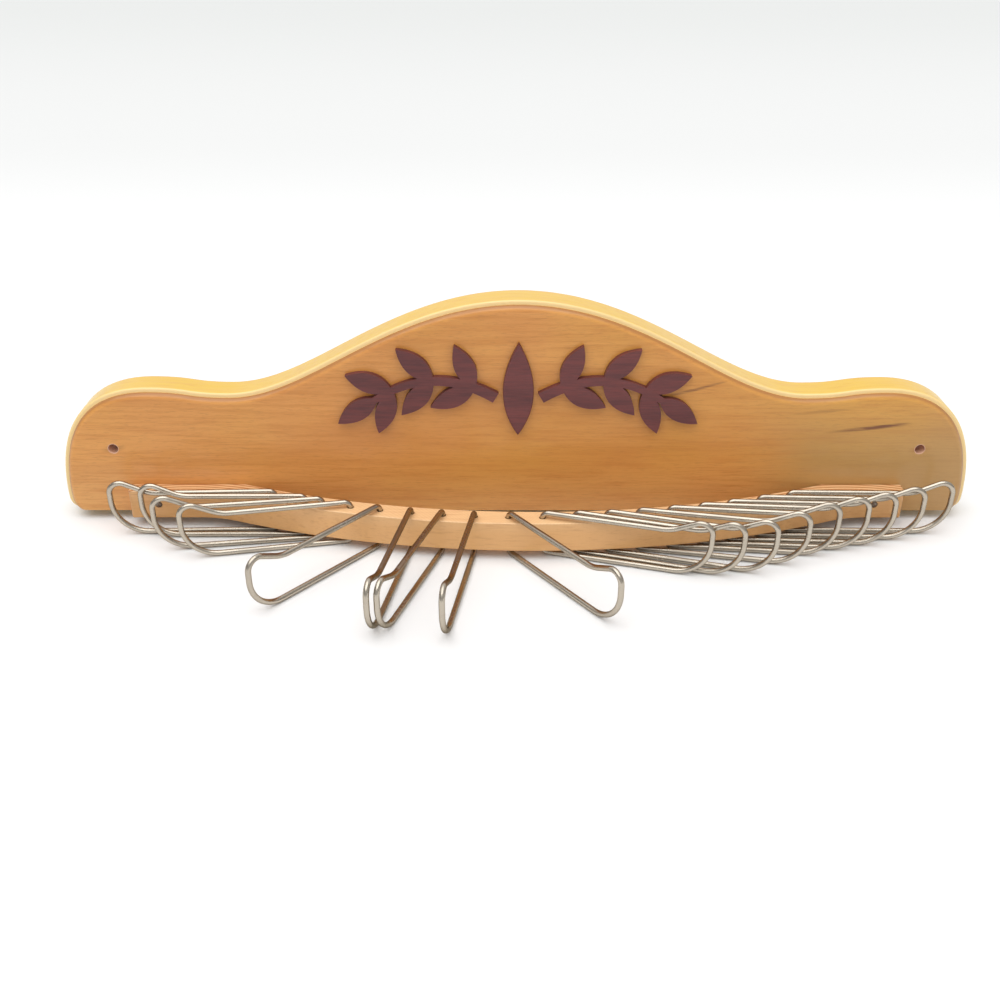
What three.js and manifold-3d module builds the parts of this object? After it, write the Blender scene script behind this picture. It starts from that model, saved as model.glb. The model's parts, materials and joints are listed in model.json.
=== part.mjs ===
// Wall-mounted tie rack: a shaped board, a bowed rail and a row of swivelling wire hooks.
// Millimetres, +Z up, front towards -Y. The wall is the plane y = 0. The origin lies on it,
// midway between the two wall-screw holes.
import * as THREE from "three";
import { mergeVertices } from "three/addons/utils/BufferGeometryUtils.js";
import Module from "manifold-3d";

const wasm = await Module();
wasm.setup();

// Board: overall size and the shape of its top edge, heights counted from the bottom edge
const BOARD_WIDTH = 460;
const BOARD_THICKNESS = 19;
const DIP_HEIGHT = 63.6;
const HUMP_RISE = 47.9;
const SHOULDER_RISE = 3;
const SHOULDER_INSET = 47.7;
const DIP_TO_SHOULDER = 40;
const END_HEIGHT = 9;
const BOTTOM_RADIUS = 7;

// How far each curve of the top edge runs level, as a part of its own span
const HUMP_FULLNESS = 0.443;
const DIP_FULLNESS = 0.275;
const SADDLE_FULLNESS = 0.53;
const SHOULDER_FULLNESS = 0.65;
const END_FULLNESS = 0.65;

// Routed rim round the top and the ends: a flat step, then a quarter round up to the face
const RIM_STEP = 2.2;
const RIM_ROUND = 3;
const RIM_ROUND_FACETS = 3;

// Wall-screw holes
const SCREW_HOLE_DIAMETER = 5;
const SCREW_HOLE_INSET = 28;
const SCREW_HOLE_HEIGHT = 35;

// Bowed rail: its front and back are arcs about one centre, and its thinner ends lie flat on the board.
// Depths are counted from the board's face. The bow's middle is a little to the right of the board's.
const RAIL_INSET = 34.5;
const RAIL_HEIGHT = 15.3;
const RAIL_DEPTH = 12;
const RAIL_REACH = 41;
const RAIL_END_LENGTH = 36.4;
const RAIL_END_DEPTH = 8;
const RAIL_END_BLEND = 10;
const RAIL_END_ROUND = 1.5;
const BOW_OFFSET = 8.5;

// Nails that hold the rail's ends
const NAIL_INSET = 14.5;
const NAIL_SHANK_DIAMETER = 1.6;
const NAIL_HEAD_DIAMETER = 3.4;
const NAIL_HEAD_HEIGHT = 0.9;
const NAIL_SINK = 0.6;
const NAIL_IN_BOARD = 11;

// Wire hooks: sizes along the middle of the wire
const WIRE_DIAMETER = 2.7;
const HOOK_REACH = 81.3;
const CREST_RISE = 5.7;
const CREST_RADIUS = 5.5;
const KINK_ANGLE = THREE.MathUtils.degToRad(24);
const KINK_RADIUS = 20;
const TIP_RADIUS = 17;
const ELBOW_RADIUS = 3;
const STUB_LENGTH = 5;
const GAP_ABOVE_RAIL = 1.5;
const GAP_BELOW_RAIL = 2;

// Row of hooks from left to right: the holes were drilled by eye, so each has slipped from an even pitch
const LAST_HOOK_X = 134.8;
const HOOK_PITCH = 15.4;
const HOLE_SLIP = [6.5, 7.1, 0.2, -1.2, -2, -2, -2, -2, -1, 0, 0, 0, 0, 0, 0, -1, -0.5, 0];
const REST_YAW_DEGREES = [-88, -91, -82, -79, -40, -10, -18, -9, 36, 74, 73, 74, 79, 84, 86, 87, 88, 89];

// Leaf overlay on the board's face
const LEAF_THICKNESS = 3;
const LEAF_HEIGHT_ON_BOARD = 68;
const CENTRE_LEAF_LENGTH = 48;
const CENTRE_LEAF_WIDTH = 15;
const SPRIG_SPAN = 60;
const SPRIG_START = 11;
const STEM_START_DROP = 4;
const STEM_ARCH = 8;
const STEM_TIP_DROP = 6;
const STEM_WIDTH = 5.5;
const STEM_TIP_WIDTH = 3.4;
const SPRIG_LEAF_LENGTH = 24;
const SPRIG_LEAF_WIDTH = 10;
const SPRIG_LEAF_ANGLE = THREE.MathUtils.degToRad(45);
const SPRIG_LEAF_PAIRS = 3;

// Clearances
const SEAT_GAP = 0.3;
const HOLE_CLEARANCE = 0.35;
const NEST_GAP = 0.4;

// Fineness of the facets
const BOARD_FACET = 6;
const RAIL_FACET = 12;
const LEAF_FACET = 3;
const WIRE_SIDES = 8;
const WIRE_ARC_STEPS = 2;
const HOLE_SIDES = 12;
const BEND_STEPS = 4;

// Finishes
const VARNISHED_BOARD = { color: 0xc8904f, roughness: 0.38, metalness: 0 };
const VARNISHED_RAIL = { color: 0xd49d63, roughness: 0.42, metalness: 0 };
const RED_WOOD = { color: 0x6b2f2e, roughness: 0.5, metalness: 0 };
const NICKEL_WIRE = { color: 0xa8a297, roughness: 0.3, metalness: 1 };
const NAIL_STEEL = { color: 0x8f8a82, roughness: 0.4, metalness: 1 };

// Sizes that follow from the ones above
const RAIL_HALF = BOARD_WIDTH / 2 - RAIL_INSET;
const BOW_HALF = RAIL_HALF - RAIL_END_LENGTH;
const BOW_RISE = RAIL_REACH - RAIL_END_DEPTH;
const RAIL_FRONT_RADIUS = (BOW_HALF ** 2 + BOW_RISE ** 2) / (2 * BOW_RISE);
const RAIL_BACK_RADIUS = RAIL_FRONT_RADIUS - RAIL_DEPTH;
const RAIL_CENTRE = RAIL_REACH - RAIL_FRONT_RADIUS;
const WIRE_RADIUS = WIRE_DIAMETER / 2;
const UPPER_LEG = RAIL_HEIGHT + GAP_ABOVE_RAIL + WIRE_RADIUS;
const LOWER_LEG = -GAP_BELOW_RAIL - WIRE_RADIUS;

// A closed geometry as a solid that can be joined and cut
function toSolid(geometry) {
  const bare = new THREE.BufferGeometry();
  bare.setAttribute("position", geometry.getAttribute("position"));
  bare.setIndex(geometry.getIndex());
  const merged = mergeVertices(bare, 1e-4);
  const vertProperties = new Float32Array(merged.getAttribute("position").array);
  const triVerts = new Uint32Array(merged.getIndex().array);
  return new wasm.Manifold(new wasm.Mesh({ numProp: 3, vertProperties, triVerts }));
}

function toGeometry(solid) {
  const { vertProperties, triVerts } = solid.getMesh();
  const geometry = new THREE.BufferGeometry();
  geometry.setAttribute("position", new THREE.BufferAttribute(new Float32Array(vertProperties), 3));
  geometry.setIndex(new THREE.BufferAttribute(new Uint32Array(triVerts), 1));
  geometry.computeVertexNormals();
  return geometry;
}

function namedMesh(name, geometry, finish) {
  const mesh = new THREE.Mesh(geometry, new THREE.MeshStandardMaterial(finish));
  mesh.name = name;
  return mesh;
}

// Points along a chain of curves, about one facet length apart
function pointsAlong(curves, facet) {
  const points = [];
  for (const curve of curves) {
    const steps = Math.max(2, Math.ceil(curve.getLength() / facet));
    points.push(...curve.getPoints(steps).slice(0, -1));
  }
  points.push(curves.at(-1).getPoint(1));
  return points;
}

// A shape drawn on the wall plane, pushed out towards the front from a depth behind it
function pushedForward(shape, from, options) {
  const geometry = new THREE.ExtrudeGeometry(shape, { steps: 1, ...options });
  geometry.translate(0, 0, from);
  geometry.rotateX(Math.PI / 2);
  return geometry;
}

// A round bar with its axis along Y, for cuts from front to back
function frontDrill(diameter, x, z, yFrom, yTo) {
  const geometry = new THREE.CylinderGeometry(diameter / 2, diameter / 2, Math.abs(yTo - yFrom), HOLE_SIDES);
  geometry.translate(x, (yFrom + yTo) / 2, z);
  return toSolid(geometry);
}

// An upright round bar, for the hook holes
function uprightDrill(diameter, x, y, zFrom, zTo) {
  const geometry = new THREE.CylinderGeometry(diameter / 2, diameter / 2, zTo - zFrom, HOLE_SIDES);
  geometry.rotateX(Math.PI / 2);
  geometry.translate(x, y, (zFrom + zTo) / 2);
  return toSolid(geometry);
}

// The board's outline: the right half is drawn and then mirrored. A drop takes the bottom edge lower.
function boardOutline(drop = 0) {
  const half = BOARD_WIDTH / 2;
  const shoulderX = half - SHOULDER_INSET;
  const dipX = shoulderX - DIP_TO_SHOULDER;
  const shoulderZ = DIP_HEIGHT + SHOULDER_RISE;
  const peakZ = DIP_HEIGHT + HUMP_RISE;
  const point = (x, z) => new THREE.Vector2(x, z);
  const cornerX = half - BOTTOM_RADIUS;
  const saddle = SADDLE_FULLNESS * DIP_TO_SHOULDER;
  const right = pointsAlong([
    new THREE.LineCurve(point(0, -drop), point(cornerX, -drop)),
    new THREE.EllipseCurve(cornerX, BOTTOM_RADIUS - drop, BOTTOM_RADIUS, BOTTOM_RADIUS, -Math.PI / 2, 0),
    new THREE.CubicBezierCurve(
      point(half, END_HEIGHT),
      point(half, END_HEIGHT + END_FULLNESS * (shoulderZ - END_HEIGHT)),
      point(shoulderX + SHOULDER_FULLNESS * SHOULDER_INSET, shoulderZ),
      point(shoulderX, shoulderZ),
    ),
    new THREE.CubicBezierCurve(
      point(shoulderX, shoulderZ),
      point(shoulderX - saddle, shoulderZ),
      point(dipX + saddle, DIP_HEIGHT),
      point(dipX, DIP_HEIGHT),
    ),
    new THREE.CubicBezierCurve(
      point(dipX, DIP_HEIGHT),
      point(dipX * (1 - DIP_FULLNESS), DIP_HEIGHT),
      point(dipX * HUMP_FULLNESS, peakZ),
      point(0, peakZ),
    ),
  ], BOARD_FACET);
  const left = right.slice(1, -1).reverse().map((p) => point(-p.x, p.y));
  return new THREE.Shape([...right, ...left]);
}

function backBoard() {
  const outline = boardOutline();
  const rimDepth = BOARD_THICKNESS - RIM_ROUND;
  const rim = toSolid(pushedForward(outline, 0, { depth: rimDepth, bevelEnabled: false }));
  const blank = toSolid(pushedForward(outline, 0, { depth: BOARD_THICKNESS, bevelEnabled: false }));
  const faceSink = RIM_ROUND;
  // The bottom edge isn't routed, so the raised face is drawn past it and trimmed there
  const faceOutline = boardOutline(RIM_STEP + RIM_ROUND + BOTTOM_RADIUS);
  const face = toSolid(pushedForward(faceOutline, rimDepth - faceSink, {
    depth: faceSink,
    bevelEnabled: true,
    bevelThickness: RIM_ROUND,
    bevelSize: RIM_ROUND,
    bevelOffset: -RIM_STEP - RIM_ROUND,
    bevelSegments: RIM_ROUND_FACETS,
  }));
  let board = rim.add(face.intersect(blank));
  const over = 1;
  for (const side of [-1, 1]) {
    const screwX = side * (BOARD_WIDTH / 2 - SCREW_HOLE_INSET);
    board = board.subtract(
      frontDrill(SCREW_HOLE_DIAMETER, screwX, SCREW_HOLE_HEIGHT, over, -BOARD_THICKNESS - over),
    );
    const nailHole = NAIL_SHANK_DIAMETER + 2 * HOLE_CLEARANCE;
    const nailEnd = -BOARD_THICKNESS + NAIL_IN_BOARD + HOLE_CLEARANCE;
    board = board.subtract(
      frontDrill(nailHole, side * nailX(), RAIL_HEIGHT / 2, nailEnd, -BOARD_THICKNESS - over),
    );
  }
  return namedMesh("back_board", toGeometry(board), VARNISHED_BOARD);
}

// Depth of an arc of the rail in front of the board's face, at a place along the bow
function bowDepth(radius, fromMiddle) {
  return RAIL_CENTRE + Math.sqrt(radius ** 2 - fromMiddle ** 2);
}

function nailX() {
  return RAIL_HALF - NAIL_INSET;
}

// Where a nail's head seats in the front of the rail's end, as a place on the Y axis
function nailSeatY() {
  return -BOARD_THICKNESS - RAIL_END_DEPTH + NAIL_SINK;
}

// The rail seen from above. The front arc sweeps into the ends, and the back arc stops at the board.
function railOutline() {
  const point = (x, depth) => new THREE.Vector2(x, -BOARD_THICKNESS - depth);
  const arcEnd = BOW_HALF - RAIL_END_BLEND;
  const arcEndDepth = bowDepth(RAIL_FRONT_RADIUS, arcEnd);
  const arcSpan = Math.asin(arcEnd / RAIL_FRONT_RADIUS);
  const bendX = arcEnd + (arcEndDepth - RAIL_END_DEPTH) / Math.tan(arcSpan);
  const seatSpan = Math.acos((SEAT_GAP - RAIL_CENTRE) / RAIL_BACK_RADIUS);
  const arc = (radius, from, to) => {
    const down = -Math.PI / 2;
    const middleY = -BOARD_THICKNESS - RAIL_CENTRE;
    return new THREE.EllipseCurve(BOW_OFFSET, middleY, radius, radius, down + from, down + to, from > to);
  };
  const frontSide = (side) => [
    new THREE.QuadraticBezierCurve(
      point(BOW_OFFSET + side * arcEnd, arcEndDepth),
      point(BOW_OFFSET + side * bendX, RAIL_END_DEPTH),
      point(BOW_OFFSET + side * (BOW_HALF + RAIL_END_BLEND), RAIL_END_DEPTH),
    ),
    new THREE.QuadraticBezierCurve(
      point(side * (RAIL_HALF - RAIL_END_ROUND), RAIL_END_DEPTH),
      point(side * RAIL_HALF, RAIL_END_DEPTH),
      point(side * RAIL_HALF, RAIL_END_DEPTH - RAIL_END_ROUND),
    ),
  ].flatMap((curve) => curve.getPoints(BEND_STEPS));
  return new THREE.Shape([
    ...frontSide(-1).reverse().slice(0, -1),
    ...pointsAlong([arc(RAIL_FRONT_RADIUS, -arcSpan, arcSpan)], RAIL_FACET),
    ...frontSide(1).slice(1),
    point(RAIL_HALF, SEAT_GAP),
    ...pointsAlong([arc(RAIL_BACK_RADIUS, seatSpan, -seatSpan)], RAIL_FACET),
    point(-RAIL_HALF, SEAT_GAP),
  ]);
}

// Hook holes: places along the rail, on the middle of its depth
function hookPivot(index) {
  const stepsFromLast = HOLE_SLIP.length - 1 - index;
  const x = LAST_HOOK_X - stepsFromLast * HOOK_PITCH + HOLE_SLIP[index];
  const y = -BOARD_THICKNESS - bowDepth((RAIL_FRONT_RADIUS + RAIL_BACK_RADIUS) / 2, x - BOW_OFFSET);
  return new THREE.Vector2(x, y);
}

function bowRail() {
  const bar = new THREE.ExtrudeGeometry(railOutline(), { steps: 1, depth: RAIL_HEIGHT, bevelEnabled: false });
  let rail = toSolid(bar);
  const over = 1;
  const hookHole = WIRE_DIAMETER + 2 * HOLE_CLEARANCE;
  REST_YAW_DEGREES.forEach((_, index) => {
    const { x, y } = hookPivot(index);
    rail = rail.subtract(uprightDrill(hookHole, x, y, -over, RAIL_HEIGHT + over));
  });
  const shankHole = NAIL_SHANK_DIAMETER + 2 * HOLE_CLEARANCE;
  const headHole = NAIL_HEAD_DIAMETER + 2 * HOLE_CLEARANCE;
  const seat = nailSeatY();
  const outside = -BOARD_THICKNESS - RAIL_REACH;
  for (const side of [-1, 1]) {
    const x = side * nailX();
    rail = rail.subtract(frontDrill(shankHole, x, RAIL_HEIGHT / 2, 0, outside));
    rail = rail.subtract(frontDrill(headHole, x, RAIL_HEIGHT / 2, seat + SEAT_GAP, outside));
  }
  return namedMesh("bow_rail", toGeometry(rail), VARNISHED_RAIL);
}

// A nail with a low domed head, pointing back into the board
function railNail(name, side) {
  const shank = NAIL_SHANK_DIAMETER / 2;
  const head = NAIL_HEAD_DIAMETER / 2;
  const seat = nailSeatY();
  const tip = -BOARD_THICKNESS + NAIL_IN_BOARD;
  const length = tip - seat;
  const profile = [
    new THREE.Vector2(0, -length),
    new THREE.Vector2(shank, -length + 2 * shank),
    new THREE.Vector2(shank, 0),
    new THREE.Vector2(head, 0),
    new THREE.Vector2(head, NAIL_HEAD_HEIGHT / 2),
    new THREE.Vector2(head * 0.6, NAIL_HEAD_HEIGHT),
    new THREE.Vector2(0, NAIL_HEAD_HEIGHT),
  ];
  const geometry = new THREE.LatheGeometry(profile, HOLE_SIDES);
  const mesh = namedMesh(name, toGeometry(toSolid(geometry)), NAIL_STEEL);
  mesh.rotation.z = Math.PI;
  mesh.position.set(side * nailX(), seat, RAIL_HEIGHT / 2);
  return mesh;
}

// A path through given points that keeps them as they are, with the mean direction at each
class WirePath extends THREE.Curve {
  constructor(points) {
    super();
    this.points = points;
  }

  nearest(u) {
    return Math.round(u * (this.points.length - 1));
  }

  getPointAt(u, target = new THREE.Vector3()) {
    return target.copy(this.points[this.nearest(u)]);
  }

  getTangentAt(u, target = new THREE.Vector3()) {
    const index = this.nearest(u);
    const here = this.points[index];
    const before = this.points[index - 1] ?? here;
    const after = this.points[index + 1] ?? here;
    const incoming = here.clone().sub(before).normalize();
    const outgoing = after.clone().sub(here).normalize();
    return target.copy(incoming).add(outgoing).normalize();
  }
}

// The hook's side view: distance out from its hole, and height above the rail's bottom
function hookProfile() {
  const crestX = HOOK_REACH - CREST_RADIUS;
  const crestZ = UPPER_LEG + CREST_RISE - CREST_RADIUS;
  const slopeEndX = crestX - CREST_RADIUS * Math.sin(KINK_ANGLE);
  const slopeEndZ = crestZ + CREST_RADIUS * Math.cos(KINK_ANGLE);
  const kinkX = slopeEndX - (slopeEndZ - UPPER_LEG) / Math.tan(KINK_ANGLE);
  const kinkStart = kinkX - KINK_RADIUS * Math.tan(KINK_ANGLE / 2);
  const tipRadius = Math.min(TIP_RADIUS, crestZ - LOWER_LEG);
  const up = Math.PI / 2;
  const path = new THREE.Path();
  path.moveTo(0, RAIL_HEIGHT - STUB_LENGTH);
  path.lineTo(0, UPPER_LEG - ELBOW_RADIUS);
  path.absarc(ELBOW_RADIUS, UPPER_LEG - ELBOW_RADIUS, ELBOW_RADIUS, Math.PI, up, true);
  path.absarc(kinkStart, UPPER_LEG + KINK_RADIUS, KINK_RADIUS, -up, KINK_ANGLE - up, false);
  path.absarc(crestX, crestZ, CREST_RADIUS, up + KINK_ANGLE, 0, true);
  path.absarc(HOOK_REACH - tipRadius, LOWER_LEG + tipRadius, tipRadius, 0, -up, true);
  path.absarc(ELBOW_RADIUS, LOWER_LEG + ELBOW_RADIUS, ELBOW_RADIUS, -up, -Math.PI, true);
  path.lineTo(0, STUB_LENGTH);
  return path.getPoints(WIRE_ARC_STEPS);
}

// How far a hook can turn from straight out before its wire lies beside the bend of a neighbour
function foldedYaw(from, neighbour) {
  const step = neighbour.clone().sub(from);
  const apart = Math.acos(Math.min(1, (WIRE_DIAMETER + NEST_GAP) / step.length()));
  return apart + Math.atan2(step.y, Math.abs(step.x));
}

// Rest angles of the hooks: none leans past its neighbour's bend, and no two tips cross
function restYaws() {
  const yaws = REST_YAW_DEGREES.map((degrees) => THREE.MathUtils.degToRad(degrees));
  yaws.forEach((yaw, index) => {
    const side = Math.sign(yaw);
    const next = index + side;
    if (next in yaws) {
      yaws[index] = side * Math.min(Math.abs(yaw), foldedYaw(hookPivot(index), hookPivot(next)));
    }
  });
  for (let index = 1; index < yaws.length; index += 1) {
    const before = yaws[index - 1];
    const step = hookPivot(index).sub(hookPivot(index - 1));
    const room = step.x * Math.cos(before) + step.y * Math.sin(before) - WIRE_DIAMETER - NEST_GAP;
    const closing = Math.asin(THREE.MathUtils.clamp(room / HOOK_REACH, 0, 1));
    yaws[index] = Math.max(yaws[index], before - closing);
  }
  return yaws;
}

function wireHook(name, pivot, yaw) {
  const points = hookProfile().map((p) => new THREE.Vector3(0, -p.x, p.y));
  const section = new THREE.Shape(
    new THREE.EllipseCurve(0, 0, WIRE_RADIUS, WIRE_RADIUS).getPoints(WIRE_SIDES).slice(0, -1),
  );
  const geometry = new THREE.ExtrudeGeometry(section, {
    steps: points.length - 1,
    extrudePath: new WirePath(points),
  });
  const mesh = namedMesh(name, toGeometry(toSolid(geometry)), NICKEL_WIRE);
  mesh.position.set(pivot.x, pivot.y, 0);
  mesh.rotation.z = yaw;
  return mesh;
}

// A pointed leaf lying along +X from the origin
function leafShape(length, width) {
  const start = new THREE.Vector2(0, 0);
  const end = new THREE.Vector2(length, 0);
  const side = (sign) => new THREE.Vector2(length * 0.45, sign * width);
  const lower = new THREE.QuadraticBezierCurve(start, side(-1), end);
  const upper = new THREE.QuadraticBezierCurve(end, side(1), start);
  return new THREE.Shape(pointsAlong([lower, upper], LEAF_FACET).slice(0, -1));
}

// A flat piece of the overlay, turned and placed on the board's face
function overlaySolid(shape, angle, at) {
  const geometry = new THREE.ExtrudeGeometry(shape, { steps: 1, depth: LEAF_THICKNESS, bevelEnabled: false });
  geometry.rotateZ(angle);
  geometry.translate(at.x, at.y, BOARD_THICKNESS + SEAT_GAP);
  geometry.rotateX(Math.PI / 2);
  return toSolid(geometry);
}

function centreLeaf() {
  const bottom = new THREE.Vector2(0, LEAF_HEIGHT_ON_BOARD - CENTRE_LEAF_LENGTH / 2);
  const leaf = overlaySolid(leafShape(CENTRE_LEAF_LENGTH, CENTRE_LEAF_WIDTH), Math.PI / 2, bottom);
  return namedMesh("centre_leaf", toGeometry(leaf), RED_WOOD);
}

// A stem that arches out from the middle, with pairs of leaves and one at its tip
function sprig(name, side) {
  const place = (across, up) => new THREE.Vector2(side * (SPRIG_START + across), LEAF_HEIGHT_ON_BOARD + up);
  const stem = new THREE.CubicBezierCurve(
    place(0, -STEM_START_DROP),
    place(SPRIG_SPAN / 3, STEM_ARCH),
    place(2 * SPRIG_SPAN / 3, STEM_ARCH),
    place(SPRIG_SPAN, -STEM_TIP_DROP),
  );
  const stations = pointsAlong([stem], LEAF_FACET);
  const edge = (sign) => stations.map((at, index) => {
    const share = index / (stations.length - 1);
    const along = stem.getTangent(share);
    const half = THREE.MathUtils.lerp(STEM_WIDTH, STEM_TIP_WIDTH, share) / 2;
    return stem.getPoint(share).add(new THREE.Vector2(-along.y, along.x).multiplyScalar(sign * half));
  });
  let solid = overlaySolid(new THREE.Shape([...edge(-1), ...edge(1).reverse()]), 0, new THREE.Vector2());
  const leaf = leafShape(SPRIG_LEAF_LENGTH, SPRIG_LEAF_WIDTH);
  const addLeaf = (share, turn) => {
    const angle = stem.getTangent(share).angle() + turn;
    solid = solid.add(overlaySolid(leaf, angle, stem.getPoint(share)));
  };
  for (let pair = 0; pair < SPRIG_LEAF_PAIRS; pair += 1) {
    const share = (pair + 0.5) / SPRIG_LEAF_PAIRS;
    addLeaf(share, SPRIG_LEAF_ANGLE);
    addLeaf(share, -SPRIG_LEAF_ANGLE);
  }
  addLeaf(1 - STEM_TIP_WIDTH / SPRIG_SPAN, 0);
  return namedMesh(name, toGeometry(solid), RED_WOOD);
}

function tieRack() {
  const rack = new THREE.Group();
  rack.position.z = -SCREW_HOLE_HEIGHT;
  rack.add(backBoard(), bowRail());
  rack.add(railNail("rail_nail_left", -1), railNail("rail_nail_right", 1));
  rack.add(sprig("sprig_left", -1), centreLeaf(), sprig("sprig_right", 1));
  restYaws().forEach((yaw, index) => {
    const number = String(index + 1).padStart(2, "0");
    rack.add(wireHook(`hook_${number}`, hookPivot(index), yaw));
  });
  return rack;
}

export default tieRack();
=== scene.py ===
"""Dresses the wall-mounted tie rack: board, bowed rail, leaf overlay, nails and wire hooks."""
import json
import math

import bmesh
import bpy
from bpy.props import FloatProperty, FloatVectorProperty, IntProperty, PointerProperty
from mathutils import Matrix, Vector
from mathutils.geometry import interpolate_bezier


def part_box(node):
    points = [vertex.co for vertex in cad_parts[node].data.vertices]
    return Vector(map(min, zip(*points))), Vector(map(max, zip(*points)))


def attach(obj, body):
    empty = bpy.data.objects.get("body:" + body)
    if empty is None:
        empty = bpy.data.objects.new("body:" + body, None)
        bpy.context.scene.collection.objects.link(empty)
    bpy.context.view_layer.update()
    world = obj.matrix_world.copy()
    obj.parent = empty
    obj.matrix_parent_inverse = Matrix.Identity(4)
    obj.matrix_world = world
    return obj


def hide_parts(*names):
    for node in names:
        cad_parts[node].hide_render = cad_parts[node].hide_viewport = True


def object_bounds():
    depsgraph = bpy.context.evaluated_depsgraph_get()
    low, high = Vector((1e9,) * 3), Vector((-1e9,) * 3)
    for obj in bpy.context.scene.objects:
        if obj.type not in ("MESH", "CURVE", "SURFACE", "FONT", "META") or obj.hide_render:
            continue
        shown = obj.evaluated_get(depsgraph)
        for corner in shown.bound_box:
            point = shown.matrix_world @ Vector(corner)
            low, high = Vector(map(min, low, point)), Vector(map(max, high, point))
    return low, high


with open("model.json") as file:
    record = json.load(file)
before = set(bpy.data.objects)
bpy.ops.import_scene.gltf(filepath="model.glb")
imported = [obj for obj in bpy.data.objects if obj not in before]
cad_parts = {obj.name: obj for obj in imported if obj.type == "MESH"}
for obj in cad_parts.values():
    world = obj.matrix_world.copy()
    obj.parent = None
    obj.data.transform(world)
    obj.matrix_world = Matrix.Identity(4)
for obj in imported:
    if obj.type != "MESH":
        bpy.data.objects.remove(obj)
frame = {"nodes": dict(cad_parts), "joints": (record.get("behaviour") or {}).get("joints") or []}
CAD_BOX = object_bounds()

bl_info = {
    "name": "Tie rack",
    "version": (1, 0, 0),
    "blender": (4, 5, 0),
    "location": "View3D > Sidebar > Tie rack",
    "description": "Makes the visible pieces of a wall-mounted tie rack around its solids",
    "category": "Object",
}

RACK_BODY = "rack"
BOARD_LOW, BOARD_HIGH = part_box("back_board")
RAIL_LOW, RAIL_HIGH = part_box("bow_rail")
LEAF_LOW, LEAF_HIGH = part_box("centre_leaf")
NAIL_LOW, NAIL_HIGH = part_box("rail_nail_right")
# Mineral streaks in the board: across, up, half length and half width, turn and strength.
MINERAL_STREAKS = [
    (0.1745, 0.0116, (0.025, 0.0015), 0.11, 1),
    (0.1866, 0.0136, (0.011, 0.0009), 0.11, 0.8),
    (0.15, 0.0205, (0.02, 0.0012), 0.1, 0.35),
    (0.084, 0.0316, (0.014, 0.0012), 0.25, 0.8),
    (0.094, 0.0346, (0.009, 0.0009), 0.25, 0.6),
]
# Torn fibres beside a screw hole: half length and half width, and turn.
TORN_RADII, TORN_TURN = (0.0075, 0.0024), 0.15
# Depth of the open grain under the varnish.
GRAIN_DEPTH = 0.00006
# How far a drill goes past what it bores, and how far out the drill of a nail head's seat comes.
DRILL_OVER = 0.001
HEAD_DRILL = 0.006
# How near a point counts as on a plane.
ON_PLANE = 1e-6
HOOK_NODES = sorted(name for name in frame["nodes"] if name.startswith("hook_"))
HOOK_PIVOTS = {joint["child"]: Vector(joint["pos_m"]) for joint in frame["joints"]}


def length(label, words, default):
    return FloatProperty(name=label, description=words, default=default, unit="LENGTH", precision=5)


def share(label, words, default):
    return FloatProperty(name=label, description=words, default=default, min=0, max=1, subtype="FACTOR")


def angle(label, words, degrees):
    return FloatProperty(name=label, description=words, default=math.radians(degrees), subtype="ANGLE")


def turned(label, words, degrees):
    default = [math.radians(value) for value in degrees]
    return FloatVectorProperty(name=label, description=words, default=default, subtype="EULER")


def colour(label, words, default):
    return FloatVectorProperty(
        name=label, description=words, default=default, size=3, min=0, max=1, subtype="COLOR",
    )


def count(label, words, default):
    return IntProperty(name=label, description=words, default=default, min=1)


class BoardSizes(bpy.types.PropertyGroup):
    """Shape of the board's top edge and of its routed rim."""
    dip_height: length("Dip height", "Low points of the top edge, above the bottom edge", 0.0636)
    shoulder_rise: length("Shoulder rise", "Shoulders above the dips", 0.003)
    shoulder_inset: length("Shoulder inset", "From the ends in to the shoulders' tops", 0.0477)
    dip_to_shoulder: length("Dip to shoulder", "From the shoulders in to the dips", 0.04)
    end_height: length("End height", "Height at which the ends become upright", 0.009)
    corner_radius: length("Corner radius", "Rounding of the bottom corners", 0.007)
    hump_fullness: share("Hump fullness", "How far the hump runs level", 0.443)
    dip_fullness: share("Dip fullness", "How far the hump's foot runs level", 0.275)
    saddle_fullness: share("Saddle fullness", "How far the saddle between dip and shoulder runs level", 0.53)
    end_fullness: share("End fullness", "How full the outer corners are", 0.65)
    rim_step: length("Rim step", "Flat step round the face, which the bottom edge lacks", 0.0022)
    rim_round: length("Rim round", "Quarter round from the step up to the face", 0.003)
    eased_edge: length("Eased edge", "Rounding of the rim's own edges", 0.0011)
    curve_points: count("Curve points", "Points along each curve of the edge", 28)
    screw_hole: length("Screw hole", "Diameter of the wall-screw holes", 0.005)
    screw_inset: length("Screw inset", "From the ends in to the wall-screw holes", 0.028)


class RailSizes(bpy.types.PropertyGroup):
    """Section and ends of the bowed rail."""
    depth: length("Depth", "From the rail's back arc to its front arc", 0.012)
    bow_offset: length("Bow offset", "Bow's middle to the right of the board's", 0.0085)
    end_length: length("End length", "Flat ends, as if the bow were in the middle", 0.0364)
    end_depth: length("End depth", "Depth of the flat ends", 0.008)
    end_blend: length("End blend", "How far the bow sweeps into the ends", 0.01)
    end_round: length("End round", "Rounding of the front corners of the ends", 0.0015)
    eased_edge: length("Eased edge", "Rounding of the long edges", 0.0009)
    hook_hole: length("Hook hole", "Diameter of the hook holes", 0.0034)
    arc_steps: count("Arc steps", "Steps along the bow", 72)


class NailSizes(bpy.types.PropertyGroup):
    """Nails in the rail's ends, and the bores that hold them."""
    shank_radius: length("Shank radius", "Radius of the shank", 0.0008)
    head_height: length("Head height", "Height of the domed head", 0.0009)
    bore: length("Bore", "Diameter of the bore round the shank", 0.0021)
    head_sink: length("Head sink", "From the head's top in to the bottom of its seat", 0.0012)
    head_slack: length("Head slack", "Seat wider than the head", 0.0003)


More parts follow.
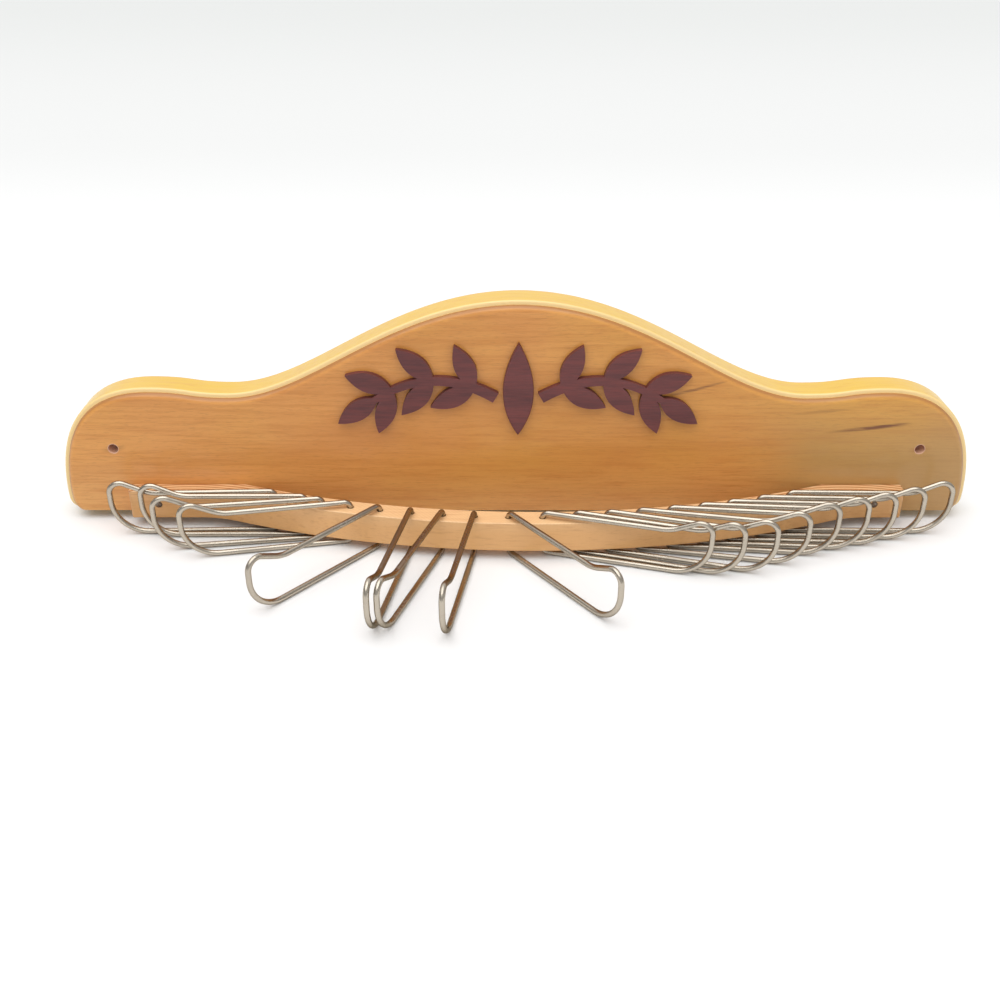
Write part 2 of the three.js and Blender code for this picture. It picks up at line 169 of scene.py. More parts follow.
class HookSizes(bpy.types.PropertyGroup):
    """Bends of a wire hook, measured on the middle of the wire."""
    wire: length("Wire", "Diameter of the wire", 0.0027)
    reach: length("Reach", "From the hole to the farthest point", 0.0813)
    crest_rise: length("Crest rise", "Crest above the upper leg", 0.0057)
    crest_radius: length("Crest radius", "Bend at the crest", 0.0055)
    kink_angle: angle("Kink angle", "Slope up to the crest", 24)
    kink_radius: length("Kink radius", "Bend at the foot of the slope", 0.02)
    tip_radius: length("Tip radius", "Bend below the crest", 0.017)
    elbow_radius: length("Elbow radius", "Bends down into the rail", 0.003)
    stub: length("Stub", "Length of the ends in the rail", 0.005)
    gap_above: length("Gap above", "From the rail's top to the wire", 0.0015)
    gap_below: length("Gap below", "From the rail's bottom to the wire", 0.002)
    sides: count("Sides", "Sides of the round wire", 18)
    small_bend_steps: count("Small bend steps", "Steps round an elbow or the kink", 8)
    large_bend_steps: count("Large bend steps", "Steps round the crest or the tip", 20)


class OverlaySizes(bpy.types.PropertyGroup):
    """Leaves and stems of the overlay."""
    sprig_start: length("Sprig start", "From the board's middle out to a stem's start", 0.011)
    sprig_span: length("Sprig span", "Length of a stem across the board", 0.06)
    start_drop: length("Start drop", "Stem's start below the middle", 0.004)
    arch: length("Arch", "Stem's arch above the middle", 0.008)
    tip_drop: length("Tip drop", "Stem's tip below the middle", 0.006)
    stem_width: length("Stem width", "Stem's width at its start", 0.0055)
    stem_tip_width: length("Stem tip width", "Stem's width at its tip", 0.0034)
    leaf_length: length("Leaf length", "Length of a sprig's leaf", 0.024)
    leaf_width: length("Leaf width", "Width of a sprig's leaf", 0.01)
    leaf_angle: angle("Leaf angle", "Between a leaf and its stem", 45)
    leaf_pairs: count("Leaf pairs", "Pairs of leaves on a stem", 3)
    eased_edge: length("Eased edge", "Rounding of the sawn edges", 0.0006)
    curve_points: count("Curve points", "Points along a leaf's side", 18)
    stem_points: count("Stem points", "Points along a stem", 25)


class RackColours(bpy.types.PropertyGroup):
    """Colours of the finishes."""
    board_light: colour("Board, light", "Light wood of the board", (0.80, 0.365, 0.098))
    board_dark: colour("Board, dark", "Darker figure of the board", (0.58, 0.215, 0.045))
    board_edge: colour("Board edge", "Sawn and sanded rim of the board", (0.78, 0.495, 0.04))
    # Groove colour: router burn and dirt on the round-over, darkened further as painted shade in the groove;
    # also the colour of pores and torn fibres.
    groove: colour("Groove", "Brown round-over at the foot of the rim", (0.36, 0.145, 0.035))
    # Rim step colour: the step's sanded wood, painted paler still as painted light, as the front-facing step
    # is lit less than the top edge.
    rim_step: colour("Rim step", "Pale step round the face", (0.97, 0.72, 0.33))
    heartwood: colour("Heartwood", "Greyish heartwood at the right end", (0.43, 0.265, 0.10))
    mineral: colour("Mineral streak", "Brown streaks in the board", (0.2, 0.07, 0.022))
    bore: colour("Bore", "Raw wood inside the screw holes", (0.78, 0.48, 0.33))
    rail_light: colour("Rail, light", "Light wood of the rail", (0.82, 0.45, 0.18))
    rail_dark: colour("Rail, dark", "Growth rings of the rail", (0.5, 0.19, 0.065))
    rail_top: colour("Rail, top", "Paler top of the rail", (0.88, 0.58, 0.31))
    red_light: colour("Red wood, light", "Light grain of the overlay", (0.19, 0.045, 0.042))
    red_dark: colour("Red wood, dark", "Dark grain of the overlay", (0.085, 0.018, 0.02))
    nickel: colour("Nickel", "Plating of the wire", (0.52, 0.465, 0.385))
    nickel_edge: colour("Nickel edge", "Wire seen at a flat angle", (0.28, 0.25, 0.21))
    nail: colour("Nail", "Steel of the nails", (0.24, 0.21, 0.18))


class StageSettings(bpy.types.PropertyGroup):
    """Camera, floor and light."""
    camera_place: FloatVectorProperty(
        name="Camera place", description="Camera in the rack's frame",
        default=(-0.013, -0.5365, 0.2524), unit="LENGTH",
    )
    camera_pitch: angle("Camera pitch", "Downward tilt", 28.54)
    camera_yaw: angle("Camera yaw", "Turn to the right", 0.48)
    camera_roll: angle("Camera roll", "Turn about the line of sight", 0.25)
    camera_lens: FloatProperty(name="Lens", description="Focal length in mm on a 36 mm frame", default=41.36)
    floor_gap: length("Floor gap", "Floor below the hooks' lowest points", 0.0003)
    floor_width: length("Floor width", "Width of the floor", 30)
    floor_colour: colour("Floor", "Pale floor", (0.88, 0.88, 0.88))
    # Floor colours greying with distance behind the rack: painted fall-off of the light.
    middle_floor_shade: colour("Middle floor", "Floor a metre behind the rack", (0.737, 0.742, 0.737))
    far_floor_shade: colour("Far floor", "Floor a long way behind the rack", (0.67, 0.68, 0.672))
    sky_strength: FloatProperty(name="Sky", description="Even light from all round", default=0.55)
    room_shade: share("Room shade", "Brightness of the room in front, as the metal mirrors it", 0.26)
    key_strength: FloatProperty(name="Key", description="Soft light from above", default=2.0)
    fill_strength: FloatProperty(name="Fill", description="Soft light from the front", default=0.6)
    key_turn: turned("Key turn", "Tilt of the light from above", (12, -8, 0))
    key_spread: angle("Key spread", "Softness of the light from above", 70)
    fill_turn: turned("Fill turn", "Tilt of the light from the front", (55, 22, 0))
    fill_spread: angle("Fill spread", "Softness of the light from the front", 120)
    bounce: share("Bounce", "Floor's colour as light bounces off it, beside its colour as seen", 0.6)


class TieRackSettings(bpy.types.PropertyGroup):
    """Everything about the rack that a user would change."""
    board: PointerProperty(type=BoardSizes)
    rail: PointerProperty(type=RailSizes)
    nail: PointerProperty(type=NailSizes)
    hook: PointerProperty(type=HookSizes)
    overlay: PointerProperty(type=OverlaySizes)
    colours: PointerProperty(type=RackColours)
    stage: PointerProperty(type=StageSettings)


class Paint:
    """A number, colour or vector that changes over a surface, with the usual operators for numbers."""

    def __init__(self, finish, socket):
        self.finish = finish
        self.socket = socket

    def maths(self, operation, first, second):
        return self.finish.node("ShaderNodeMath", {"operation": operation}, {0: first, 1: second})

    def __add__(self, other):
        return self.maths("ADD", self, other)

    __radd__ = __add__

    def __sub__(self, other):
        return self.maths("SUBTRACT", self, other)

    def __rsub__(self, other):
        return self.maths("SUBTRACT", other, self)

    def __mul__(self, other):
        return self.maths("MULTIPLY", self, other)

    __rmul__ = __mul__

    def larger(self, other):
        return self.maths("MAXIMUM", self, other)


class Nodes:
    """A node tree and the one method that adds a node to it."""

    def __init__(self, tree):
        self.tree = tree
        self.tree.nodes.clear()

    def node(self, kind, settings, inputs, output=0):
        node = self.tree.nodes.new(kind)
        for key, value in settings.items():
            setattr(node, key, value)
        for key, value in inputs.items():
            if isinstance(value, Paint):
                self.tree.links.new(value.socket, node.inputs[key])
            else:
                node.inputs[key].default_value = value
        return Paint(self, node.outputs[output]) if node.outputs else None

    def fade(self, value, start, end, low=0, high=1):
        return self.node(
            "ShaderNodeMapRange", {"interpolation_type": "SMOOTHSTEP"},
            {0: value, 1: start, 2: end, 3: low, 4: high},
        )

    def blend(self, factor, first, second):
        def shade(value):
            return value if isinstance(value, Paint) else (*value, 1)
        return self.node(
            "ShaderNodeMix", {"data_type": "RGBA", "clamp_factor": True},
            {0: factor, 6: shade(first), 7: shade(second)}, 2,
        )

    def seen(self):
        """One for what the camera, mirrors and glass see, nought for light that bounces."""
        camera, glossy, clear = (
            self.node("ShaderNodeLightPath", {}, {}, f"Is {kind} Ray")
            for kind in ("Camera", "Glossy", "Transmission")
        )
        return camera.larger(glossy).larger(clear)


class Finish(Nodes):
    """A procedural material and the few nodes that the rack's finishes are made of."""

    def __init__(self, name):
        self.material = bpy.data.materials.new(name)
        self.material.use_nodes = True
        super().__init__(self.material.node_tree)
        self.place = self.node("ShaderNodeTexCoord", {}, {}, "Object")

    def axis(self, name):
        return self.node("ShaderNodeSeparateXYZ", {}, {0: self.place}, name)

    def stretched(self, scale):
        return self.node(
            "ShaderNodeMapping", {}, {"Vector": self.place, "Scale": scale},
        )

    def noise(self, place, scale, detail=3, roughness=0.5, distortion=0):
        return self.node("ShaderNodeTexNoise", {}, {
            "Vector": place, "Scale": scale, "Detail": detail, "Roughness": roughness,
            "Distortion": distortion,
        })

    def spot(self, centre, radii, turn=0):
        """One at a point on the board's face, fading to nought at an ellipse round it."""
        away = self.node("ShaderNodeVectorMath", {"operation": "SUBTRACT"}, {0: self.place, 1: centre})
        turned = self.node(
            "ShaderNodeVectorRotate", {"rotation_type": "Y_AXIS"}, {"Vector": away, "Angle": turn},
        )
        scaled = self.node(
            "ShaderNodeVectorMath", {"operation": "MULTIPLY"},
            {0: turned, 1: (1 / radii[0], 0, 1 / radii[1])},
        )
        reach = self.node("ShaderNodeVectorMath", {"operation": "LENGTH"}, {0: scaled}, "Value")
        return self.fade(reach, 1, 0.2)

    def surface(self, base, roughness, bump=None, bump_depth=0, **constants):
        inputs = {"Base Color": base, "Roughness": roughness}
        inputs.update({key.replace("_", " "): value for key, value in constants.items()})
        if bump is not None:
            inputs["Normal"] = self.node(
                "ShaderNodeBump", {}, {"Strength": 1, "Distance": bump_depth, "Height": bump}, "Normal",
            )
        shader = self.node("ShaderNodeBsdfPrincipled", {}, inputs)
        self.node("ShaderNodeOutputMaterial", {}, {"Surface": shader})
        return self.material


def varnished_board(settings):
    colours = settings.colours
    finish = Finish("varnished_board")
    across, depth, up = (finish.axis(name) for name in "XYZ")
    back = finish.fade(depth, BOARD_HIGH.y - 0.002, BOARD_HIGH.y - 0.0005)
    drift = finish.noise(finish.stretched((1, 1, 1)), 9, 2)
    figure = finish.noise(finish.stretched((3.2, 18, 34)), 1.7, 5, 0.62, 0.9)
    flecks = finish.noise(finish.stretched((30, 520, 620)), 1, 3, 0.65)
    pores = finish.noise(finish.stretched((260, 2600, 2700)), 1, 2, 0.5)
    figured = finish.fade(figure, 0.3, 0.72)
    wood = finish.blend(0.12 + figured * 0.58, colours.board_light, colours.board_dark)
    wood = finish.blend(finish.fade(drift, 0.35, 0.75, 0, 0.28), wood, colours.board_edge)
    # Below the rail's bottom the board is tinted towards the rail's paler colour, growing to the bottom edge:
    # painted reflected light.
    wood = finish.blend(finish.fade(up, 0, -0.03, 0, 0.4), wood, colours.rail_light)
    wood = finish.blend(finish.fade(flecks, 0.44, 0.68, 0, 0.48), wood, colours.board_dark)
    wood = finish.blend(finish.fade(pores, 0.52, 0.72, 0, 0.27), wood, colours.groove)
    # A wide darker patch low in the middle of the face, round the rail: painted shade, darker towards the
    # middle and bottom.
    wood = finish.blend(finish.spot((0.01, 0, 0.004), (0.2, 0.05)) * 0.3, wood, colours.board_dark)
    heart = finish.fade(across + drift * 0.09 - figure * 0.05, 0.125, 0.2)
    heart = heart * finish.fade(up + drift * 0.05, 0.075, 0.02)
    wood = finish.blend(heart * 0.72, wood, colours.heartwood)
    streaked = finish.noise(finish.stretched((60, 600, 1100)), 1, 3, 0.6)
    streaks = sum(
        finish.spot((x, BOARD_LOW.y, z), radii, turn) * strength
        for x, z, radii, turn, strength in MINERAL_STREAKS
    )
    streaks = (1 - back) * streaks * finish.fade(streaked, 0.25, 0.55, 0.15, 1)
    wood = finish.blend(streaks, wood, colours.mineral)
    step = settings.board.rim_round
    rim = finish.fade(depth, BOARD_LOW.y + 0.92 * step, BOARD_LOW.y + 0.985 * step)
    edge_grain = finish.noise(finish.stretched((30, 420, 420)), 1, 3, 0.6)
    edge = finish.blend(finish.fade(edge_grain, 0.4, 0.75, 0, 0.3), colours.board_edge, wood)
    edge = finish.blend(back * 0.6, edge, wood)
    # The round-over at the foot of the rim goes brown: partly router burn and dirt, partly painted shade in
    # the groove.
    groove = finish.fade(depth, BOARD_LOW.y + 0.02 * step, BOARD_LOW.y + 0.5 * step)
    wood = finish.blend(groove * 0.85, wood, colours.groove)
    # The step round the face is painted pale: sanded wood, brightened further as painted light.
    pale = finish.fade(depth, BOARD_LOW.y + 1.45 * step, BOARD_LOW.y + 1.05 * step)
    edge = finish.blend(pale, edge, colours.rim_step)
    wood = finish.blend(rim * 0.92, wood, edge)
    screw_x = BOARD_HIGH.x - settings.board.screw_inset
    ragged = settings.board.screw_hole * 0.62
    holes = sum(finish.spot((x, 0, 0), (ragged, ragged)) for x in (screw_x, -screw_x))
    torn = sum(finish.spot((x, 0, 0), TORN_RADII, TORN_TURN) for x in (screw_x, -screw_x))
    wood = finish.blend(torn * finish.fade(streaked, 0.3, 0.6, 0, 0.6), wood, colours.groove)
    wood = finish.blend(finish.fade(holes, 0, 0.12), wood, colours.bore)
    gloss = 0.3 + finish.fade(flecks, 0.4, 0.7, 0, 0.1) + finish.fade(drift, 0.3, 0.7, 0, 0.08)
    return finish.surface(
        wood, gloss, flecks * 0.5 + pores * 0.5, GRAIN_DEPTH, Coat_Weight=0.35, Coat_Roughness=0.18,
        Specular_IOR_Level=0.4,
    )


def varnished_rail(colours):
    finish = Finish("varnished_rail")
    across, depth, up = (finish.axis(name) for name in "XYZ")
    waver = finish.noise(finish.stretched((9, 30, 40)), 1, 3, 0.5)
    fine = finish.noise(finish.stretched((45, 800, 700)), 1, 2, 0.6)
    pores = finish.noise(finish.stretched((230, 2000, 2000)), 1, 2, 0.5)
    top = finish.fade(up, RAIL_HIGH.z - 0.0008, RAIL_HIGH.z - 0.0002)
    from_end = finish.node("ShaderNodeMath", {"operation": "ABSOLUTE"}, {0: across}) - 0.165
    swept = depth + from_end * from_end * 5
    rings = finish.node("ShaderNodeMath", {"operation": "SINE"}, {0: swept * 2600 + waver * 6})
    ring = finish.fade(rings, -0.3, 0.9) * finish.fade(from_end, -0.075, -0.03, 0.12, 1)
    wood = finish.blend(top * 0.75, colours.rail_light, colours.rail_top)
    paler = finish.fade(up, RAIL_LOW.z + 0.008, RAIL_HIGH.z - 0.001, 0, 0.25)
    wood = finish.blend(paler, wood, colours.rail_top)
    wood = finish.blend(ring * (0.1 + top * 0.9), wood, colours.rail_dark)
    wood = finish.blend(finish.fade(fine, 0.5, 0.75, 0, 0.28), wood, colours.rail_dark)
    wood = finish.blend(finish.fade(pores, 0.54, 0.72, 0, 0.17), wood, colours.rail_dark)
    gloss = 0.33 + finish.fade(fine, 0.4, 0.7, 0, 0.12)
    return finish.surface(
        wood, gloss, fine * 0.6 + pores * 0.4, GRAIN_DEPTH, Coat_Weight=0.3, Coat_Roughness=0.2,
        Specular_IOR_Level=0.4,
    )


def red_wood(colours):
    finish = Finish("red_wood")
    figure = finish.noise(finish.stretched((14, 60, 90)), 1, 3, 0.55, 0.6)
    fibres = finish.noise(finish.stretched((70, 900, 1000)), 1, 3, 0.65)
    grain = finish.fade(figure, 0.3, 0.7) * 0.5 + finish.fade(fibres, 0.35, 0.68) * 0.5
    wood = finish.blend(grain, colours.red_dark, colours.red_light)
    gloss = 0.42 + finish.fade(fibres, 0.4, 0.7, 0, 0.16)
    return finish.surface(wood, gloss, fibres, 0.00012, Coat_Weight=0.12, Coat_Roughness=0.3)


def nickel_wire(colours):
    finish = Finish("nickel_wire")
    cloud = finish.noise(finish.stretched((60, 60, 60)), 1, 3, 0.6)
    specks = finish.noise(finish.stretched((900, 900, 900)), 1, 2, 0.6)
    worn = tuple(0.62 * value for value in colours.nickel)
    metal = finish.blend(finish.fade(cloud, 0.45, 0.75, 0, 0.4), colours.nickel, worn)
    metal = finish.blend(finish.fade(specks, 0.62, 0.75, 0, 0.2), metal, worn)
    gloss = 0.22 + finish.fade(cloud, 0.3, 0.7, 0, 0.08) + finish.fade(specks, 0.55, 0.75, 0, 0.05)
    return finish.surface(metal, gloss, Metallic=1, Specular_Tint=(*colours.nickel_edge, 1))


def nail_steel(colours):
    finish = Finish("nail_steel")
    stain = finish.noise(finish.stretched((700, 700, 700)), 1, 3, 0.6)
    rust = tuple(value * tint for value, tint in zip(colours.nail, (0.75, 0.5, 0.35)))
    steel = finish.blend(finish.fade(stain, 0.4, 0.65), colours.nail, rust)
    return finish.surface(steel, 0.35 + stain * 0.25, stain, 0.00003, Metallic=0.85)


def curve_points(knots, count):
    """Points along one cubic curve, without its last."""
    return interpolate_bezier(*(Vector((*knot, 0)) for knot in knots), count + 1)[:-1]


def swept_points(start, corner, end, count):
    """Points along a curve that leaves towards a corner and comes in from it, without its last."""
    return curve_points([start, start.lerp(corner, 2 / 3), end.lerp(corner, 2 / 3), end], count)


def board_outline(sizes, drop=0):
    """Half of the board's outline as (x, z), from the right bottom corner round to the top's middle.
    A drop takes the bottom edge lower and rounds its corners by as much more."""
    half = BOARD_HIGH.x
    bottom = BOARD_LOW.z - drop
    top = BOARD_HIGH.z
    dip_z = BOARD_LOW.z + sizes.dip_height
    shoulder_z = dip_z + sizes.shoulder_rise
    shoulder_x = half - sizes.shoulder_inset
    dip_x = shoulder_x - sizes.dip_to_shoulder
    end_z = BOARD_LOW.z + sizes.end_height
    saddle = sizes.saddle_fullness * sizes.dip_to_shoulder
    full = sizes.end_fullness
    radius = sizes.corner_radius + drop
    quarter = 0.5523 * radius
    curves = [
        [(half - radius, bottom), (half - radius + quarter, bottom),
         (half, bottom + radius - quarter), (half, bottom + radius)],
        [(half, end_z), (half, end_z + full * (shoulder_z - end_z)),
         (shoulder_x + full * sizes.shoulder_inset, shoulder_z), (shoulder_x, shoulder_z)],
        [(shoulder_x, shoulder_z), (shoulder_x - saddle, shoulder_z),
         (dip_x + saddle, dip_z), (dip_x, dip_z)],
        [(dip_x, dip_z), (dip_x * (1 - sizes.dip_fullness), dip_z),
         (dip_x * sizes.hump_fullness, top), (0, top)],
    ]
    counts = [8, sizes.curve_points, sizes.curve_points // 2, 2 * sizes.curve_points]
    points = [point for curve, count in zip(curves, counts) for point in curve_points(curve, count)]
    return points + [Vector((0, top, 0))]


def mirrored(points):
    """The same points to the left of the middle, in turned order."""
    return [Vector((-p.x, p.y, 0)) for p in reversed(points)]


def raised(bm, face, shift):
    """Pushes a face out with walls round it, and returns it in its new place."""
    grown = bmesh.ops.extrude_face_region(bm, geom=[face])["geom"]
    bmesh.ops.translate(bm, verts=[v for v in grown if isinstance(v, bmesh.types.BMVert)], vec=shift)
    return next(f for f in grown if isinstance(f, bmesh.types.BMFace))


def rounded(bm, edges, radius, segments=3):
    bmesh.ops.bevel(
        bm, geom=edges, offset=radius, offset_type="OFFSET", segments=segments, profile=0.5, affect="EDGES",
        clamp_overlap=True, material=-1,
    )


def is_sharp(edge):
    """True where two faces meet at a corner that a plane or sandpaper would ease."""
    return len(edge.link_faces) == 2 and edge.calc_face_angle() > 0.6


def scratch_object(bm, name):
    mesh = bpy.data.meshes.new(name)
    bm.to_mesh(mesh)
    bm.free()
    piece = bpy.data.objects.new(name, mesh)
    bpy.context.scene.collection.objects.link(piece)
    return piece


def combined(bm, other, operation):
    """The solid that is left when another one is cut out of this one, or joined to it."""
    blank = scratch_object(bm, "blank")
    tool = scratch_object(other, "tool")
    step = blank.modifiers.new("combine", "BOOLEAN")
    step.operation = operation
    step.solver = "EXACT"
    step.object = tool
    bpy.context.view_layer.update()
    mesh = bpy.data.meshes.new_from_object(blank.evaluated_get(bpy.context.evaluated_depsgraph_get()))
    result = bmesh.new()
    result.from_mesh(mesh)
    for piece in (blank, tool):
        old = piece.data
        bpy.data.objects.remove(piece)
        bpy.data.meshes.remove(old)
    bpy.data.meshes.remove(mesh)
    return result


def drill(bm, diameter, start, end, sides=24):
    """A round bar from one point to another, for a bore."""
    along = end - start
    turn = along.to_track_quat("Z", "Y").to_matrix().to_4x4()
    bmesh.ops.create_cone(
        bm, cap_ends=True, segments=sides, radius1=diameter / 2, radius2=diameter / 2, depth=along.length,
        matrix=Matrix.Translation((start + end) / 2) @ turn,
    )


def finished(bm, name, material, body, nodes, sharp=35):
    """Makes the piece's object, which stands for its CAD nodes and moves with its body."""
    bmesh.ops.recalc_face_normals(bm, faces=bm.faces)
    mesh = bpy.data.meshes.new(name)
    bm.to_mesh(mesh)
    bm.free()
    mesh.shade_smooth()
    mesh.set_sharp_from_angle(angle=math.radians(sharp))
    mesh.materials.append(material)
    piece = bpy.data.objects.new(name, mesh)
    bpy.context.scene.collection.objects.link(piece)
    even = piece.modifiers.new("even_shading", "WEIGHTED_NORMAL")
    even.keep_sharp = True
    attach(piece, body)
    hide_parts(*nodes)
    return piece


class TIERACK_OT_board(bpy.types.Operator):
    """Make the board, with its routed rim and its bores"""
    bl_idname = "tie_rack.board"
    bl_label = "Shaped board"

    def execute(self, context):
        settings = context.scene.tie_rack
        sizes = settings.board
        bm = combined(self.routed_blank(sizes), self.bottom_trim(sizes), "INTERSECT")
        rounded(bm, [e for e in bm.edges if self.is_bottom_edge(e)], sizes.eased_edge, 3)
        bm = combined(bm, self.bores(sizes, settings.nail.bore), "DIFFERENCE")
        finished(bm, "shaped_board", varnished_board(settings), RACK_BODY, ["back_board"])
        return {"FINISHED"}

    def routed_blank(self, sizes):
        """The board with its rim routed all round, drawn past its bottom edge."""
        right = board_outline(sizes, sizes.rim_step + sizes.rim_round)
        bm = bmesh.new()
        back = bm.faces.new([bm.verts.new((p.x, 0, p.y)) for p in right + mirrored(right[:-1])])
        back_edges = list(back.edges)
        thickness = BOARD_HIGH.y - BOARD_LOW.y
        front = raised(bm, back, (0, sizes.rim_round - thickness, 0))
        rim_edges = list(front.edges)
        bmesh.ops.inset_region(bm, faces=[front], thickness=sizes.rim_step, use_even_offset=True)
        face = raised(bm, front, (0, -sizes.rim_round, 0))
        bmesh.ops.delete(bm, geom=[front], context="FACES_ONLY")
        rounded(bm, list(face.edges), 0.97 * sizes.rim_round, 6)
        rounded(bm, rim_edges + back_edges, sizes.eased_edge, 3)
        bmesh.ops.recalc_face_normals(bm, faces=bm.faces)
        return bm

    def bottom_trim(self, sizes):
        """A block that keeps all above the board's bottom edge and its rounded corners."""
        over = 0.01
        corner = [p for p in board_outline(sizes) if p.y <= BOARD_LOW.z + sizes.end_height]
        side = BOARD_HIGH.x + over
        right = corner + [Vector((side, corner[-1].y, 0)), Vector((side, BOARD_HIGH.z + over, 0))]
        bm = bmesh.new()
        back = bm.faces.new([bm.verts.new((p.x, over, p.y)) for p in right + mirrored(right)])
        raised(bm, back, (0, BOARD_LOW.y - 2 * over, 0))
        bmesh.ops.recalc_face_normals(bm, faces=bm.faces)
        return bm

    def is_bottom_edge(self, edge):
        """True on the long edges of the board's underside."""
        low = all(abs(vert.co.z - BOARD_LOW.z) < ON_PLANE for vert in edge.verts)
        flush = any(
            all(abs(vert.co.y - y) < ON_PLANE for vert in edge.verts) for y in (BOARD_LOW.y, BOARD_HIGH.y)
        )
        return low and flush and is_sharp(edge)

    def bores(self, sizes, nail_bore):
        bm = bmesh.new()
        screw_x = BOARD_HIGH.x - sizes.screw_inset
        nail_x = (NAIL_LOW.x + NAIL_HIGH.x) / 2
        nail_z = (NAIL_LOW.z + NAIL_HIGH.z) / 2
        over = Vector((0, DRILL_OVER, 0))
        for side in (-1, 1):
            hole = Vector((side * screw_x, 0, 0))
            drill(bm, sizes.screw_hole, hole + over, hole + Vector((0, BOARD_LOW.y, 0)) - over)
            nail = Vector((side * nail_x, NAIL_HIGH.y, nail_z))
            drill(bm, nail_bore, nail, Vector((nail.x, BOARD_LOW.y - DRILL_OVER, nail_z)), 16)
        return bm


def rail_outline(sizes):
    """The rail seen from above as (x, y), from its left end along the front and home along the back."""
    half = RAIL_HIGH.x
    end_y = BOARD_LOW.y - sizes.end_depth
    bow_half = half - sizes.end_length
    rise = end_y - RAIL_LOW.y
    radius = (bow_half ** 2 + rise ** 2) / (2 * rise)
    centre = Vector((sizes.bow_offset, RAIL_LOW.y + radius))
    span = math.asin((bow_half - sizes.end_blend) / radius)
    seat_span = math.acos((centre.y - RAIL_HIGH.y) / (radius - sizes.depth))

    def arc(reach, start, end):
        swings = [start + (end - start) * step / sizes.arc_steps for step in range(sizes.arc_steps + 1)]
        return [centre + reach * Vector((math.sin(swing), -math.cos(swing))) for swing in swings]

    front = arc(radius, -span, span)
    back = arc(radius - sizes.depth, seat_span, -seat_span)
    run = (end_y - front[0].y) / math.tan(span)
    outline = list(front)
    for side, tip in ((1, front[-1]), (-1, front[0])):
        bend = Vector((tip.x + side * run, end_y))
        flat = Vector((centre.x + side * (bow_half + sizes.end_blend), end_y))
        near_end = Vector((side * (half - sizes.end_round), end_y))
        corner = Vector((side * half, end_y))
        end = Vector((side * half, end_y + sizes.end_round))
        sweep = swept_points(tip, bend, flat, 12)[1:] + [flat]
        sweep += swept_points(near_end, corner, end, 6) + [end]
        sweep = [Vector(point[:2]) for point in sweep] + [Vector((side * half, RAIL_HIGH.y))]
        outline = outline + sweep if side == 1 else sweep[::-1] + outline
    return outline + back


class TIERACK_OT_rail(bpy.types.Operator):
    """Make the bowed rail, flat against the board at its ends and bored for the hooks"""
    bl_idname = "tie_rack.rail"
    bl_label = "Bowed rail"

    def execute(self, context):
        settings = context.scene.tie_rack
        sizes = settings.rail
        bm = bmesh.new()
        bottom = bm.faces.new([bm.verts.new((p.x, p.y, RAIL_LOW.z)) for p in rail_outline(sizes)])
        raised(bm, bottom, (0, 0, RAIL_HIGH.z - RAIL_LOW.z))
        places = sorted(pivot.x for pivot in HOOK_PIVOTS.values())
        for left, right in zip(places, places[1:]):
            everything = [*bm.verts, *bm.edges, *bm.faces]
            between = ((left + right) / 2, 0, 0)
            bmesh.ops.bisect_plane(bm, geom=everything, plane_co=between, plane_no=(1, 0, 0))
        bmesh.ops.recalc_face_normals(bm, faces=bm.faces)
        bores = bmesh.new()
        over = Vector((0, 0, DRILL_OVER))
        for node in HOOK_NODES:
            pivot = HOOK_PIVOTS[node + "_body"]
            bottom = Vector((pivot.x, pivot.y, RAIL_LOW.z))
            drill(bores, sizes.hook_hole, bottom - over, Vector((pivot.x, pivot.y, RAIL_HIGH.z)) + over, 20)
        nail = settings.nail
        nail_x = (NAIL_LOW.x + NAIL_HIGH.x) / 2
        nail_z = (NAIL_LOW.z + NAIL_HIGH.z) / 2
        outwards = Vector((0, HEAD_DRILL, 0))
        overlap = Vector((0, DRILL_OVER / 2, 0))
        for side in (-1, 1):
            head = Vector((side * nail_x, NAIL_LOW.y + nail.head_sink, nail_z))
            drill(bores, NAIL_HIGH.z - NAIL_LOW.z + nail.head_slack, head, head - outwards, 20)
            seat = Vector((head.x, RAIL_HIGH.y + DRILL_OVER, nail_z))
            drill(bores, nail.bore, head - overlap, seat, 16)
        bm = combined(bm, bores, "DIFFERENCE")
        rounded(bm, [e for e in bm.edges if self.is_long_edge(e, sizes.hook_hole)], sizes.eased_edge, 3)
        finished(bm, "bowed_rail", varnished_rail(settings.colours), RACK_BODY, ["bow_rail"])
        return {"FINISHED"}

    def is_long_edge(self, edge, hole):
        """True on the rail's top and bottom outlines, and false at the hook holes."""
        heights = [vert.co.z for vert in edge.verts]
        level = max(heights) - min(heights) < ON_PLANE
        outer = min(abs(heights[0] - z) for z in (RAIL_LOW.z, RAIL_HIGH.z)) < ON_PLANE
        if not (level and outer and is_sharp(edge)):
            return False
        return all((edge.verts[0].co.xy - pivot.xy).length > hole for pivot in HOOK_PIVOTS.values())


